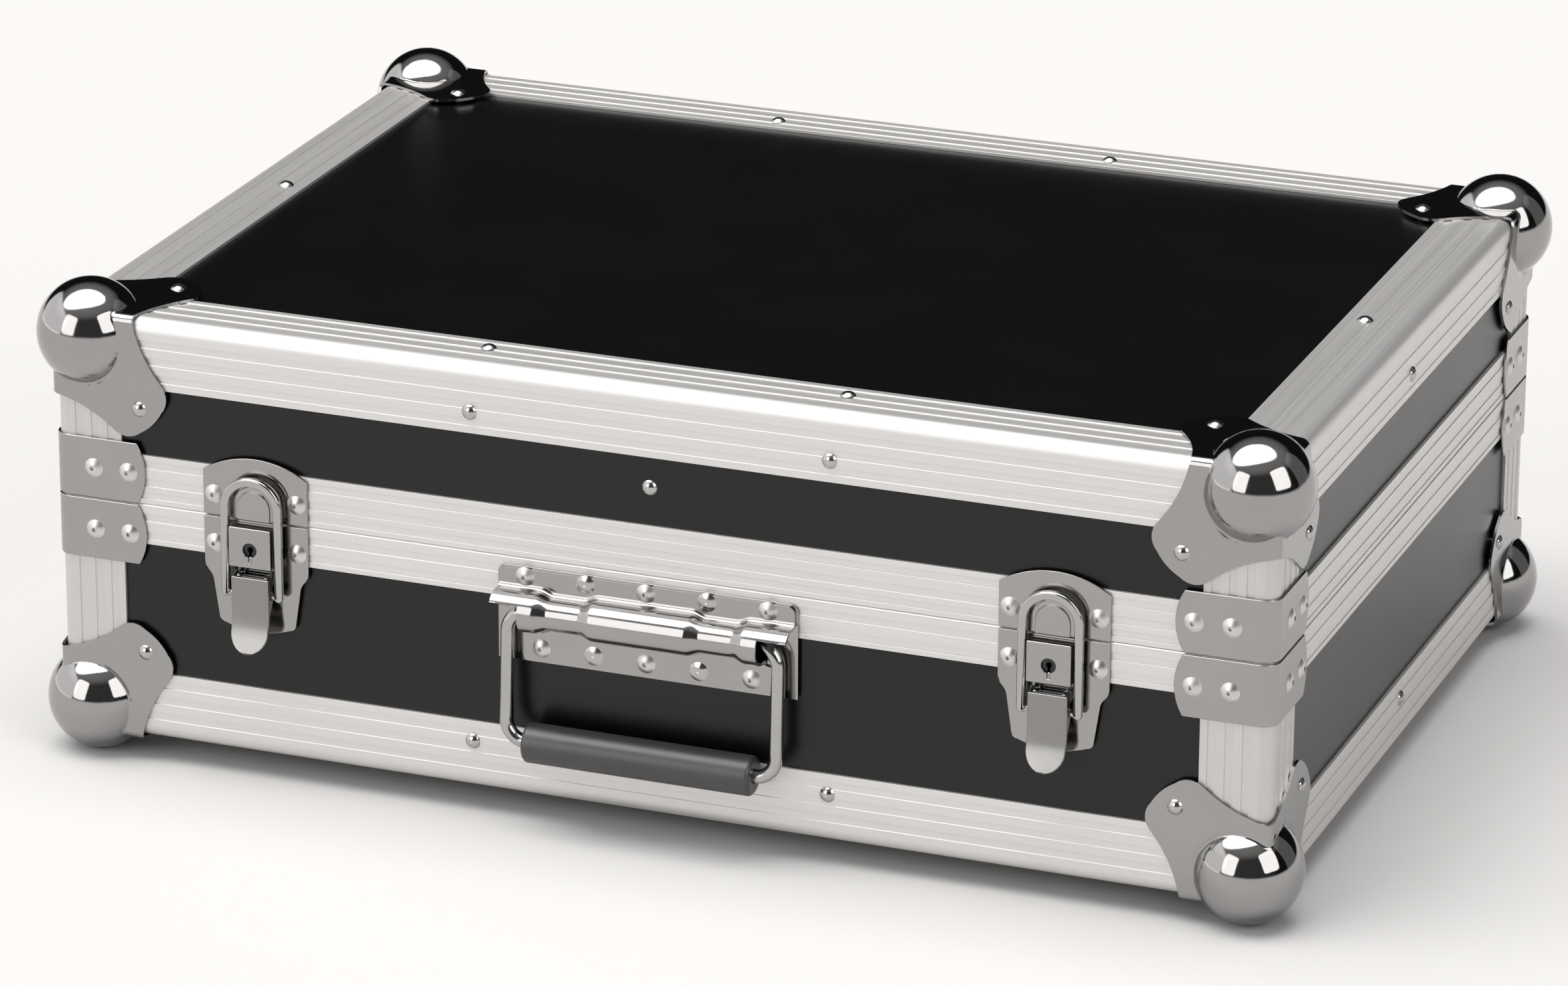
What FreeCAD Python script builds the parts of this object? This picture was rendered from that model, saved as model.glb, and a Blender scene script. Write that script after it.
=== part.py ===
import FreeCAD, Part
import math
import os

V = FreeCAD.Vector
os.makedirs("parts", exist_ok=True)

# All lengths are in millimetres. X runs along the front, Y to the back, Z up.
# The origin is on the floor, midway between the four balls the case stands on.

# The case over its edge angles, with the heights of the base and the lid.
case_w = 530.0
case_d = 372.0
base_h = 105.0
lid_h = 81.0
ply = 7.0

# Aluminium edge angles with three shallow flutes on each leg.
angle_leg = 30.0
skin = 1.5
edge_r = 6.0
flute_deep = 0.35
angle_flute_shares = ((0.300, 0.407), (0.543, 0.650), (0.787, 0.893))

# Rim strips that close the lid on the base, with a tongue below and a groove above.
base_strip = 17.6
lid_strip = 21.6
base_flute_shares = ((0.239, 0.426), (0.688, 0.869))
lid_flute_shares = ((0.125, 0.255), (0.375, 0.523), (0.736, 0.884))
rim_lip = 1.2
lip_drop = 9.0
base_web = 2.0
lid_web = 6.0
rim_chamfer = 0.5
tongue_in = 3.5
tongue_w = 2.5
tongue_h = 3.5
groove_out_slack = 0.3
groove_in_slack = 1.0
groove_top_slack = 0.5

# Foam lining.
floor_pad = 10.0
wall_pad = 8.0
pad_rim_gap = 1.0

# Ball corners, pressed from sheet: a ball and three legs.
ball_r = 24.0
ball_inset = 13.0
ball_wall = 1.5
foot_r = 3.0
plate_t = 1.2
leg_span = 52.2
leg_wrap_share = 0.699
leg_half_shares = ((0.791, 0.287), (0.940, 0.520), (0.986, 0.645), (0.942, 0.755))
leg_tip_share = 0.862
leg_rivet_in = 39.0

# Corner braces at the parting.
brace_h = 26.4
brace_mid = 41.0
brace_edge = 37.3
part_gap = 0.4
brace_rivet_ins = (17.5, 33.3)

# Rivets: solid domes on the edges and legs, flat domes on the handle, and pulled rivets with an
# open middle on the fittings.
dome_r = 3.3
dome_h = 1.7
flat_dome_r = 4.1
flat_dome_h = 1.1
pulled_r = 4.1
pulled_h = 1.5
pulled_hole_r = 1.1
pulled_hole_deep = 1.1
shank_r = 1.6
shank_bite = 5.0
shank_slack = 0.05
edge_rivet_in = 21.0
edge_rivet_x = 78.0
panel_rivet_up = 37.5

# Latches, each placed in from its end of the case.
latch_in = 91.0
latch_half = 23.5
keeper_shoulder = 20.0
keeper_apex = 27.0
boss_half = 9.4
boss_face_half = 7.4
boss_low = 0.8
boss_bend = 6.0
boss_step = 1.6
boss_face = 0.8
latch_rivet_u = 18.6
keeper_rivet_up = 9.5
plate_rivet_down = 12.0
taper_top = 20.5
latch_bottom = 49.5
taper_shares = ((0.979, 0.457), (0.919, 0.497), (0.860, 0.537), (0.834, 0.586))
toe_shares = ((0.740, 0.889), (0.706, 0.927), (0.617, 0.945))
lock_half = 9.4
lock_top = 1.2
lock_bottom = 18.6
lock_out = 8.0
lock_key_down = 10.8
core_r = 3.0
core_back = 0.4
core_recess = 1.2
key_bore_r = 1.3
key_slot_w = 1.3
key_slot_down = 5.6
key_deep = 4.0
pivot_out = 4.4
pivot_down = 24.5
pivot_pin_r = 1.3
ear_r = 2.3
ear_t = 1.5
ear_in = 5.4
lever_half = 8.4
lever_side_t = 1.2
lever_t = 1.4
lever_out = 8.4
lever_top = 22.9
lever_bend = 39.5
lever_bow_down = 47.0
lever_bow_out = 1.4
lever_end = 55.0
lever_tip_out = 5.2
lever_eye_r = 3.0
lever_swing = 110.0
lug_clear = 0.3
lever_side_back = 3.4
lever_side_mid = 30.0
lever_side_low = 33.0
lever_side_front = 5.5
lever_side_bend = 37.0
loop_inner = 10.0
loop_w = 3.8
loop_back = 4.0
loop_t = 2.8
loop_round = 1.0
loop_bend = 6.5
loop_pivot_down = 31.0
loop_pin_r = 1.2
loop_pin_gap = 0.1

# Sprung drop handle.
grip_plate_half = 65.5
grip_plate_top = 3.0
grip_plate_low = 44.0
grip_plate_round = 4.0
cover_half = 64.5
cover_top = 3.8
cover_low = 43.5
cover_low_half = 54.5
cover_mid_half = 23.5
cover_neck_end = 43.0
cover_roll_end = 52.0
cover_r = 8.5
cover_neck_r = 6.6
cover_visor_up = 3.8
swing_out = 6.2
swing_lean_deg = 2.9
swing_down = 20.5
wire_r = 2.9
wire_half = 59.1
wire_drop = 56.2
wire_bend = 9.0
wire_ends_gap = 4.0
grip_half = 50.0
grip_r = 8.4
grip_edge = 1.2
handle_upper_pitch = 26.5
handle_upper_down = 6.9
handle_lower_pitch = 23.0
handle_lower_down = 37.4
coil_wire_r = 0.7
coil_pitch = 1.7
coil_turns = 8
coil_start = 5.0

# Stop hinges on the back, each placed in from its end of the case.
hinge_in = 105.0
hinge_half = 26.0
hinge_mid_half = 9.0
hinge_side_gap = 0.3
hinge_lid_leaf = 21.0
hinge_base_leaf = 28.0
hinge_out = 5.4
knuckle_r = 4.0
hinge_pin_r = 2.0
hinge_pin_head_r = 3.0
hinge_pin_head = 1.2
hinge_web_gap = 1.2
stop_reach = 7.0
stop_t = 1.4
stop_tilt_deg = 6.0
hinge_rivet_u = 17.5
hinge_lid_rivet = 12.5
hinge_base_rivet = 14.0

# Fits and the overrun that carries a cut past a face.
pin_slack = 0.06
over = 2.0

case_h = base_h + lid_h
half_w = case_w / 2
half_d = case_d / 2
latch_x = half_w - latch_in
hinge_x = half_w - hinge_in
foot = math.sqrt(ball_r ** 2 - foot_r ** 2) - ball_inset
z_low = foot
z_part = foot + base_h
z_top = foot + case_h
z_mid = foot + case_h / 2
wall_in = skin + ply
seat = wall_in + rim_lip
front = -half_d
back = half_d


def box(x0, x1, y0, y1, z0, z1):
    return Part.makeBox(x1 - x0, y1 - y0, z1 - z0, V(x0, y0, z0))


def flip_x(shape):
    return shape.mirror(V(0, 0, 0), V(1, 0, 0))


def flip_y(shape):
    return shape.mirror(V(0, 0, 0), V(0, 1, 0))


def flip_z(shape, level):
    return shape.mirror(V(0, 0, level), V(0, 0, 1))


def slab(start, steps, place, push):
    """Plate with a flat outline: each step is a point, or a middle and an end point of an arc."""
    edges = []
    here = place(*start)
    for step in list(steps) + [start]:
        if isinstance(step[0], tuple):
            there = place(*step[1])
            edges.append(Part.Arc(here, place(*step[0]), there).toShape())
        else:
            there = place(*step)
            if here.distanceToPoint(there) > 0:
                edges.append(Part.makeLine(here, there))
        here = there
    return Part.Face(Part.Wire(edges)).extrude(push)


def rod(start, end, radius):
    run = end - start
    return Part.makeCylinder(radius, run.Length, start, run)


def fluted(shares, length):
    """Corner points of the flutes along one face, as (distance, depth) pairs."""
    points = []
    for begin, end in shares:
        points += [(begin * length, 0), (begin * length, flute_deep)]
        points += [(end * length, flute_deep), (end * length, 0)]
    return points


def edge_angle(place, run, mitre_far):
    """Angle along one edge, mitred where it meets the other two at a corner."""
    flutes = fluted(angle_flute_shares, angle_leg)
    bend_in = edge_r - (edge_r - skin) * math.sqrt(0.5)
    bend_out = edge_r - edge_r * math.sqrt(0.5)
    steps = [(p, q) for p, q in flutes]
    steps += [(angle_leg, 0), (angle_leg, skin), (edge_r, skin)]
    steps += [((bend_in, bend_in), (skin, edge_r)), (skin, angle_leg), (0, angle_leg)]
    steps += [(q, p) for p, q in reversed(flutes)]
    steps += [(0, edge_r), ((bend_out, bend_out), (edge_r, 0))]
    home = place(0, 0, 0)
    bar = slab((edge_r, 0), steps, lambda p, q: place(0, p, q), place(run, 0, 0) - home)
    far = run - angle_leg if mitre_far else run
    cut = [(angle_leg, angle_leg), (far, angle_leg), (run, 0)]
    bar = bar.common(slab((0, 0), cut, lambda u, p: place(u, p, 0), place(0, 0, angle_leg) - home))
    return bar.common(slab((0, 0), cut, lambda u, q: place(u, 0, q), place(0, angle_leg, 0) - home))


def rim(place, run, steps):
    """Rim strip along one side, mitred in plan and rounded at the upright corners."""
    home = place(0, 0, 0)
    bar = slab(steps[0], steps[1:], lambda p, q: place(0, p, q), place(run, 0, 0) - home)
    cut = [(seat, seat), (run - seat, seat), (run, 0)]
    tall = base_strip + lid_strip
    low = -base_strip - over
    plan = slab((0, 0), cut, lambda u, p: place(u, p, low), place(0, 0, tall + over + over) - home)
    return bar.common(plan).common(rounded_plan())


def rounded_plan():
    block = box(-half_w, half_w, front, back, z_low, z_top)
    upright = [e for e in block.Edges if abs(e.BoundBox.ZLength - case_h) < skin]
    return block.makeFillet(edge_r, upright)


base_rim_steps = [(0, -base_strip)]
base_rim_steps += [(q, -p) for p, q in reversed(fluted(base_flute_shares, base_strip))]
base_rim_steps += [(0, -rim_chamfer), (rim_chamfer, 0), (tongue_in, 0), (tongue_in, tongue_h)]
base_rim_steps += [(tongue_in + tongue_w, tongue_h), (tongue_in + tongue_w, 0), (seat, 0)]
base_rim_steps += [(seat, -lip_drop), (wall_in, -lip_drop), (wall_in, -base_web)]
base_rim_steps += [(skin, -base_web), (skin, -base_strip)]

groove_out = tongue_in - groove_out_slack
groove_in = tongue_in + tongue_w + groove_in_slack
groove_top = tongue_h + groove_top_slack
lid_rim_steps = [(0, lid_strip)]
lid_rim_steps += [(q, p) for p, q in reversed(fluted(lid_flute_shares, lid_strip))]
lid_rim_steps += [(0, rim_chamfer), (rim_chamfer, 0), (groove_out, 0), (groove_out, groove_top)]
lid_rim_steps += [(groove_in, groove_top), (groove_in, 0), (seat, 0)]
lid_rim_steps += [(seat, lip_drop), (wall_in, lip_drop), (wall_in, lid_web)]
lid_rim_steps += [(skin, lid_web), (skin, lid_strip)]


def rims(steps):
    front_rim = rim(lambda u, p, q: V(-half_w + u, front + p, z_part + q), case_w, steps)
    left_rim = rim(lambda u, p, q: V(-half_w + p, front + u, z_part + q), case_d, steps)
    return {"front": front_rim, "back": flip_y(front_rim), "left": left_rim, "right": flip_x(left_rim)}


def angles(level, way, upright_run):
    front_bar = edge_angle(lambda u, p, q: V(-half_w + u, front + p, level + way * q), case_w, True)
    left_bar = edge_angle(lambda u, p, q: V(-half_w + p, front + u, level + way * q), case_d, True)
    post = edge_angle(lambda u, p, q: V(-half_w + p, front + q, level + way * u), upright_run, False)
    bars = {"front": front_bar, "back": flip_y(front_bar), "left": left_bar, "right": flip_x(left_bar)}
    return bars, around(post)


def around(shape):
    """The same piece at the four upright corners."""
    left_back = flip_y(shape)
    return [shape, flip_x(shape), left_back, flip_x(left_back)]


def wall_panels(z0, z1):
    front_wall = box(edge_r - half_w, half_w - edge_r, front + skin, front + wall_in, z0, z1)
    left_wall = box(skin - half_w, wall_in - half_w, front + wall_in, back - wall_in, z0, z1)
    return {"front": front_wall, "back": flip_y(front_wall), "left": left_wall, "right": flip_x(left_wall)}


def flat_panel(z0, z1):
    return box(wall_in - half_w, half_w - wall_in, front + wall_in, back - wall_in, z0, z1)


def wall_pads(z0, z1):
    deep = wall_in + wall_pad
    front_pad = box(wall_in - half_w, half_w - wall_in, front + wall_in, front + deep, z0, z1)
    left_pad = box(wall_in - half_w, deep - half_w, front + deep, back - deep, z0, z1)
    return [front_pad, flip_y(front_pad), left_pad, flip_x(left_pad)]


def flat_pad(z0, z1):
    deep = wall_in + wall_pad
    return box(deep - half_w, half_w - deep, front + deep, back - deep, z0, z1)


def corner_block(start, radius):
    """Block that fills the case corner, with its three edges rounded."""
    span = leg_span + over
    x0 = start - half_w
    y0 = start + front
    z0 = start + z_low
    block = box(x0, span - half_w, y0, span + front, z0, span + z_low)
    home = V(x0, y0, z0)
    near = [e for e in block.Edges if any(v.Point.distanceToPoint(home) < skin for v in e.Vertexes)]
    return block.makeFillet(radius, near)


def ball_corner():
    """Front left bottom ball corner: ball and three legs over the outside of the angles."""
    at = [(s * leg_span, t * leg_span) for s, t in leg_half_shares]
    turned = [(t, s) for s, t in reversed(at)]
    wrap = leg_wrap_share * leg_span
    tip = (leg_tip_share * leg_span, leg_tip_share * leg_span)
    steps = [(wrap, -over), (wrap, 0), (at[0], at[1]), (at[2], at[3]), (tip, turned[0])]
    steps += [(turned[1], turned[2]), (turned[3], (0, wrap)), (-over, wrap)]
    rise = edge_r + over
    corner = V(-half_w, front, z_low)
    faces = [slab((-over, -over), steps, lambda p, q: corner + V(p, q, -over), V(0, 0, rise)),
             slab((-over, -over), steps, lambda p, q: corner + V(p, -over, q), V(0, rise, 0)),
             slab((-over, -over), steps, lambda p, q: corner + V(-over, p, q), V(rise, 0, 0))]
    inside = corner_block(0, edge_r)
    sheet = corner_block(-plate_t, edge_r + plate_t).cut(inside)
    legs = sheet.common(faces[0].multiFuse(faces[1:]))
    middle = corner + V(ball_inset, ball_inset, ball_inset)
    shell = legs.fuse(Part.makeSphere(ball_r, middle)).cut(inside)
    return shell.cut(Part.makeSphere(ball_r - ball_wall, middle)).removeSplitter()


def corner_brace():
    """Front left brace of the base, wrapped round the upright corner below the parting."""
    z1 = z_part - part_gap
    z0 = z1 - brace_h
    zc = (z0 + z1) / 2
    span = brace_mid + over
    outer = box(-plate_t - half_w, span - half_w, front - plate_t, front + span, z0, z1)
    inner = box(-half_w, span + over - half_w, front, front + span + over, z0 - over, z1 + over)
    wrapped = round_upright(outer, V(-plate_t - half_w, front - plate_t, z0), edge_r + plate_t)
    sheet = wrapped.cut(round_upright(inner, V(-half_w, front, z0 - over), edge_r))
    steps = [(brace_edge, z0), ((brace_mid, zc), (brace_edge, z1)), (-over, z1)]
    on_front = slab((-over, z0), steps, lambda p, z: V(p - half_w, front - over, z), V(0, span + span, 0))
    on_side = slab((-over, z0), steps, lambda p, z: V(-half_w - over, p + front, z), V(span + span, 0, 0))
    return sheet.common(on_front).common(on_side)


def round_upright(block, foot_point, radius):
    upright = [e for e in block.Edges if any(v.Point.distanceToPoint(foot_point) < skin for v in e.Vertexes)
               and e.BoundBox.ZLength > e.BoundBox.DiagonalLength / 2]
    return block.makeFillet(radius, upright)


def head(kind):
    """Rivet head standing on its seat along Z."""
    radius = {"dome": dome_r, "flat": flat_dome_r, "pulled": pulled_r}[kind]
    tall = {"dome": dome_h, "flat": flat_dome_h, "pulled": pulled_h}[kind]
    curve = (radius ** 2 + tall ** 2) / (2 * tall)
    ball = Part.makeSphere(curve, V(0, 0, tall - curve))
    cap = ball.common(Part.makeCylinder(radius, tall))
    if kind == "pulled":
        cap = cap.cut(Part.makeCylinder(pulled_hole_r, tall, V(0, 0, tall - pulled_hole_deep)))
    return cap


class Rivets:
    """Rivets of one body: their solids, and the holes they need in the pieces they hold."""

    def __init__(self):
        self.domes = []
        self.pulled = []
        self.holes = []

    def add(self, seat_point, out, depth, kind):
        inward = V(out.x, out.y, out.z) * -1
        shank = rod(V(0, 0, 0), V(0, 0, -depth), shank_r)
        rivet = head(kind).fuse(shank).removeSplitter()
        rivet.Placement = FreeCAD.Placement(seat_point, FreeCAD.Rotation(V(0, 0, 1), out))
        (self.pulled if kind == "pulled" else self.domes).append(rivet)
        hole = rod(seat_point, seat_point + inward * depth, shank_r + shank_slack)
        self.holes.append(hole)

    def drill(self, shape):
        meets = [h for h in self.holes if h.BoundBox.intersect(shape.BoundBox)]
        return shape.cut(meets) if meets else shape


def edge_rivets(rivets, level, way):
    """Domes through the edge angles, and through the legs of the ball corners."""
    deep = skin + shank_bite
    leg_deep = plate_t + deep
    near = edge_rivet_in
    leg_in = leg_rivet_in
    for sy in (-1, 1):
        for x in (-edge_rivet_x, edge_rivet_x):
            rivets.add(V(x, sy * half_d, level + way * near), V(0, sy, 0), deep, "dome")
            rivets.add(V(x, sy * (half_d - near), level), V(0, 0, -way), deep, "dome")
    for sx in (-1, 1):
        rivets.add(V(sx * half_w, 0, level + way * near), V(sx, 0, 0), deep, "dome")
        rivets.add(V(sx * (half_w - near), 0, level), V(0, 0, -way), deep, "dome")
        for sy in (-1, 1):
            x = sx * (half_w - leg_in)
            y = sy * (half_d - leg_in)
            z = level + way * leg_in
            rivets.add(V(x, sy * (half_d + plate_t), z), V(0, sy, 0), leg_deep, "dome")
            rivets.add(V(sx * (half_w + plate_t), y, z), V(sx, 0, 0), leg_deep, "dome")
            rivets.add(V(x, y, level - way * plate_t), V(0, 0, -way), leg_deep, "dome")


def brace_rivets(rivets, z):
    deep = plate_t + skin + shank_bite
    for sx in (-1, 1):
        for sy in (-1, 1):
            for near in brace_rivet_ins:
                rivets.add(V(sx * (half_w - near), sy * (half_d + plate_t), z), V(0, sy, 0), deep, "pulled")
                rivets.add(V(sx * (half_w + plate_t), sy * (half_d - near), z), V(sx, 0, 0), deep, "pulled")


def front_of(cx):
    """Places (across, out of the face, up from the parting) on the front of the case."""
    return lambda u, v, w: V(cx + u, front - v, z_part + w)


def back_of(cx):
    return lambda u, v, w: V(cx + u, back + v, z_part + w)


def block_at(at, u0, u1, v0, v1, w0, w1):
    a = at(u0, v0, w0)
    b = at(u1, v1, w1)
    return box(min(a.x, b.x), max(a.x, b.x), min(a.y, b.y), max(a.y, b.y), min(a.z, b.z), max(a.z, b.z))


def tombstone(at, half, low, bend, v0, v1):
    steps = [(half, low), (half, bend), ((0, bend + half), (-half, bend))]
    return slab((-half, low), steps, lambda u, w: at(u, v0, w), at(0, v1, 0) - at(0, v0, 0))


def latch_keeper(at):
    steps = [(latch_half, part_gap), (latch_half, keeper_shoulder)]
    steps += [((0, keeper_apex), (-latch_half, keeper_shoulder))]
    plate = slab((-latch_half, part_gap), steps, lambda u, w: at(u, 0, w), at(0, plate_t, 0) - at(0, 0, 0))
    step_out = plate_t + boss_step
    boss = tombstone(at, boss_half, boss_low, boss_bend, plate_t, step_out)
    face = tombstone(at, boss_face_half, boss_low, boss_bend, step_out, step_out + boss_face)
    return plate.multiFuse([boss, face]).removeSplitter()


def lug_room(at):
    """Room over the lugs for the lever's sheet at the end of its swing."""
    turn = math.radians(lever_swing)
    face = lever_out - lever_t - pivot_out - lug_clear
    top = -pivot_down + lever_eye_r
    near = -pivot_down + (face + (pivot_out - plate_t) * math.cos(turn)) / math.sin(turn)
    far = -pivot_down + face / math.sin(turn)
    steps = [(pivot_out, far), (pivot_out, top), (plate_t, top)]
    half = lever_half - lever_side_t
    across = at(half + half, 0, 0) - at(0, 0, 0)
    return slab((plate_t, near), steps, lambda v, w: at(-half, v, w), across)


def latch_plate(at):
    """Plate of the latch on the base, with two folded ears that carry the lever pin."""
    at_side = [(s * latch_half, -t * latch_bottom) for s, t in taper_shares]
    at_toe = [(s * latch_half, -t * latch_bottom) for s, t in toe_shares]
    left_side = [(-u, w) for u, w in at_side]
    left_toe = [(-u, w) for u, w in at_toe]
    steps = [(latch_half, -part_gap), (latch_half, -taper_top), (at_side[0], at_side[1])]
    steps += [(at_side[2], at_side[3]), at_toe[0], (at_toe[1], at_toe[2])]
    steps += [((0, -latch_bottom), left_toe[2]), (left_toe[1], left_toe[0]), left_side[3]]
    steps += [(left_side[2], left_side[1]), (left_side[0], (-latch_half, -taper_top))]
    shape = slab((-latch_half, -part_gap), steps, lambda u, w: at(u, 0, w), at(0, plate_t, 0) - at(0, 0, 0))
    low = -pivot_down - ear_r
    top = -pivot_down + ear_r
    ear_steps = [(pivot_out, low), ((pivot_out + ear_r, -pivot_down), (pivot_out, top)), (plate_t, top)]
    for u in (ear_in, -ear_in - ear_t):
        ear = slab((plate_t, low), ear_steps, lambda v, w: at(u, v, w), at(ear_t, 0, 0) - at(0, 0, 0))
        shape = shape.fuse(ear)
    return shape.cut(pivot_rod(at, pivot_pin_r + pin_slack)).removeSplitter().cut(lug_room(at))


def pivot_rod(at, radius):
    return rod(at(-lever_half, pivot_out, -pivot_down), at(lever_half, pivot_out, -pivot_down), radius)


def key_way(at, v0, v1, bore, reach):
    """Round key hole with a slot below it."""
    hole = rod(at(0, v0, -lock_key_down), at(0, v1, -lock_key_down), bore)
    half = key_slot_w / 2
    return hole.fuse(block_at(at, -half, half, v0, v1, -lock_key_down - reach, -lock_key_down))


def lock_body(at):
    shape = block_at(at, -lock_half, lock_half, plate_t, lock_out, -lock_bottom, -lock_top)
    face_y = at(0, lock_out, 0).y
    front_edges = [e for e in shape.Edges if abs(e.BoundBox.YMin - face_y) + e.BoundBox.YLength < part_gap]
    shape = shape.makeFillet(rim_chamfer, front_edges)
    inner = at(0, plate_t, -lock_key_down)
    outer = at(0, lock_out, -lock_key_down)
    shape = shape.cut(rod(inner, outer, core_r + pin_slack))
    return shape.cut(key_way(at, lock_out - core_recess, lock_out + over, key_bore_r, key_slot_down))


def lock_core(at):
    face_out = lock_out - core_recess
    shape = rod(at(0, plate_t + core_back, -lock_key_down), at(0, face_out, -lock_key_down), core_r)
    return shape.cut(key_way(at, face_out - key_deep, face_out + over, key_bore_r, core_r + over))


def latch_lever(at):
    """Lever with a rolled-out thumb tab and two side flanges for the pin and the loop."""
    inner = lever_out - lever_t
    bow = lever_out + lever_bow_out
    tip = lever_out + lever_tip_out
    steps = [(lever_out, -lever_bend), ((bow, -lever_bow_down), (tip, -lever_end))]
    steps += [(tip - lever_t, -lever_end)]
    steps += [((bow - lever_t, -lever_bow_down), (inner, -lever_bend)), (inner, -lever_top)]
    across = at(lever_half + lever_half, 0, 0) - at(0, 0, 0)
    sheet = slab((lever_out, -lever_top), steps, lambda v, w: at(-lever_half, v, w), across)
    tip_start = -lever_end + lever_half
    steps = [(lever_half, -lever_top), (lever_half, tip_start), ((0, -lever_end), (-lever_half, tip_start))]
    through = at(0, tip + over, 0) - at(0, 0, 0)
    sheet = sheet.common(slab((-lever_half, -lever_top), steps, lambda u, w: at(u, 0, w), through))
    eye_top = -pivot_down + lever_eye_r
    eye_low = -pivot_down - lever_eye_r
    steps = [(pivot_out, eye_top), ((pivot_out - lever_eye_r, -pivot_down), (pivot_out, eye_low))]
    steps += [(lever_side_back, -lever_side_mid), (lever_side_back, -lever_side_low)]
    steps += [(lever_side_front, -lever_side_bend), (inner, -lever_bend), (inner, -lever_top)]
    shape = sheet
    for u in (lever_half - lever_side_t, -lever_half):
        side = slab(steps[0], steps[1:], lambda v, w: at(u, v, w), at(lever_side_t, 0, 0) - at(0, 0, 0))
        shape = shape.fuse(side)
    shape = shape.cut(pivot_rod(at, pivot_pin_r + pin_slack))
    for way in (-1, 1):
        shape = shape.cut(loop_pin(at, way, loop_pin_r + pin_slack))
    return shape.removeSplitter()


def loop_pin(at, way, radius):
    v = loop_back + loop_t / 2
    inner = way * (lever_half - lever_side_t + loop_pin_gap)
    outer = way * (loop_inner + loop_w / 2)
    return rod(at(inner, v, -loop_pivot_down), at(outer, v, -loop_pivot_down), radius)


def latch_loop(at):
    """Loop that stands over the keeper boss, with its two ends turned into the lever."""
    outer = loop_inner + loop_w
    low = -loop_pivot_down
    toe = low - loop_w / 2
    mid = loop_inner + loop_w / 2
    steps = [(outer, loop_bend), ((0, loop_bend + outer), (-outer, loop_bend)), (-outer, low)]
    steps += [((-mid, toe), (-loop_inner, low)), (-loop_inner, loop_bend)]
    steps += [((0, loop_bend + loop_inner), (loop_inner, loop_bend)), (loop_inner, low)]
    steps += [((mid, toe), (outer, low))]
    push = at(0, loop_back + loop_t, 0) - at(0, loop_back, 0)
    shape = slab((outer, low), steps, lambda u, w: at(u, loop_back, w), push)
    flat = [e for e in shape.Edges if e.BoundBox.YLength < part_gap]
    shape = shape.makeFillet(loop_round, flat)
    return shape.multiFuse([loop_pin(at, -1, loop_pin_r), loop_pin(at, 1, loop_pin_r)]).removeSplitter()


def handle_plate(at):
    half = grip_plate_half
    bend = grip_plate_round
    near = bend - bend * math.sqrt(0.5)
    top = -grip_plate_top
    steps = [(half, -grip_plate_low), (half, top - bend), ((half - near, top - near), (half - bend, top))]
    steps += [(bend - half, top), ((near - half, top - near), (-half, top - bend))]
    return slab((-half, -grip_plate_low), steps, lambda u, w: at(u, 0, w), at(0, plate_t, 0) - at(0, 0, 0))


def tunnel(at, u0, u1, radius):
    """D-shaped bar round the handle wire, from the plate out over the wire."""
    low = -swing_down - radius
    top = -swing_down + radius
    steps = [(swing_out, low), ((swing_out + radius, -swing_down), (swing_out, top)), (plate_t, top)]
    push = at(u1, 0, 0) - at(u0, 0, 0)
    return slab((plate_t, low), steps, lambda v, w: at(u0, v, w), push)


def handle_cover(at):
    """Folded cover: two flanges, a stepped roll over the wire, and a visor over each bend."""
    out = plate_t + plate_t
    shape = block_at(at, -cover_half, cover_half, plate_t, out, -swing_down, -cover_top)
    shape = shape.fuse(block_at(at, -cover_low_half, cover_low_half, plate_t, out, -cover_low, -swing_down))
    shape = shape.fuse(tunnel(at, -cover_half, -cover_neck_end, cover_r))
    shape = shape.fuse(tunnel(at, -cover_neck_end, -cover_mid_half, cover_neck_r))
    shape = shape.fuse(tunnel(at, -cover_mid_half, cover_mid_half, cover_r))
    shape = shape.fuse(tunnel(at, cover_mid_half, cover_neck_end, cover_neck_r))
    shape = shape.fuse(tunnel(at, cover_neck_end, cover_half, cover_r))
    hollow = cover_r - plate_t
    shape = shape.cut(tunnel(at, plate_t - cover_mid_half, cover_mid_half - plate_t, hollow))
    shape = shape.cut(tunnel(at, cover_neck_end + plate_t, cover_half + over, hollow))
    shape = shape.cut(tunnel(at, -cover_half - over, -cover_neck_end - plate_t, hollow))
    reach = swing_out + cover_r + over
    low = -cover_low - over
    visor = -swing_down + cover_visor_up
    shape = shape.cut(block_at(at, cover_roll_end, cover_half + over, out, reach, low, visor))
    shape = shape.cut(block_at(at, -cover_half - over, -cover_roll_end, out, reach, low, visor))
    ends = (at(-cover_half, swing_out, -swing_down), at(cover_half, swing_out, -swing_down))
    return shape.cut(rod(ends[0], ends[1], wire_r + pin_slack)).removeSplitter()


def handle_bail(at):
    """Round wire bent to a frame, open where its two ends meet inside the cover."""
    top = -swing_down
    low = top - wire_drop
    near = wire_bend - wire_bend * math.sqrt(0.5)
    inner = wire_half - wire_bend
    bends = [(wire_ends_gap / 2, top), (inner, top), (wire_half - near, top - near)]
    bends += [(wire_half, top - wire_bend), (wire_half, low + wire_bend)]
    bends += [(wire_half - near, low + near), (inner, low), (0, low)]
    p = [at(u, swing_out, w) for u, w in bends]
    edges = [Part.makeLine(p[0], p[1]), Part.Arc(p[1], p[2], p[3]).toShape(), Part.makeLine(p[3], p[4])]
    edges += [Part.Arc(p[4], p[5], p[6]).toShape(), Part.makeLine(p[6], p[7])]
    ring = Part.Wire(Part.makeCircle(wire_r, p[0], V(1, 0, 0)))
    half = Part.Wire(edges).makePipeShell([ring], True, False)
    shape = half.fuse(flip_x(half)).removeSplitter()
    return leaned(at, shape)


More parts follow.
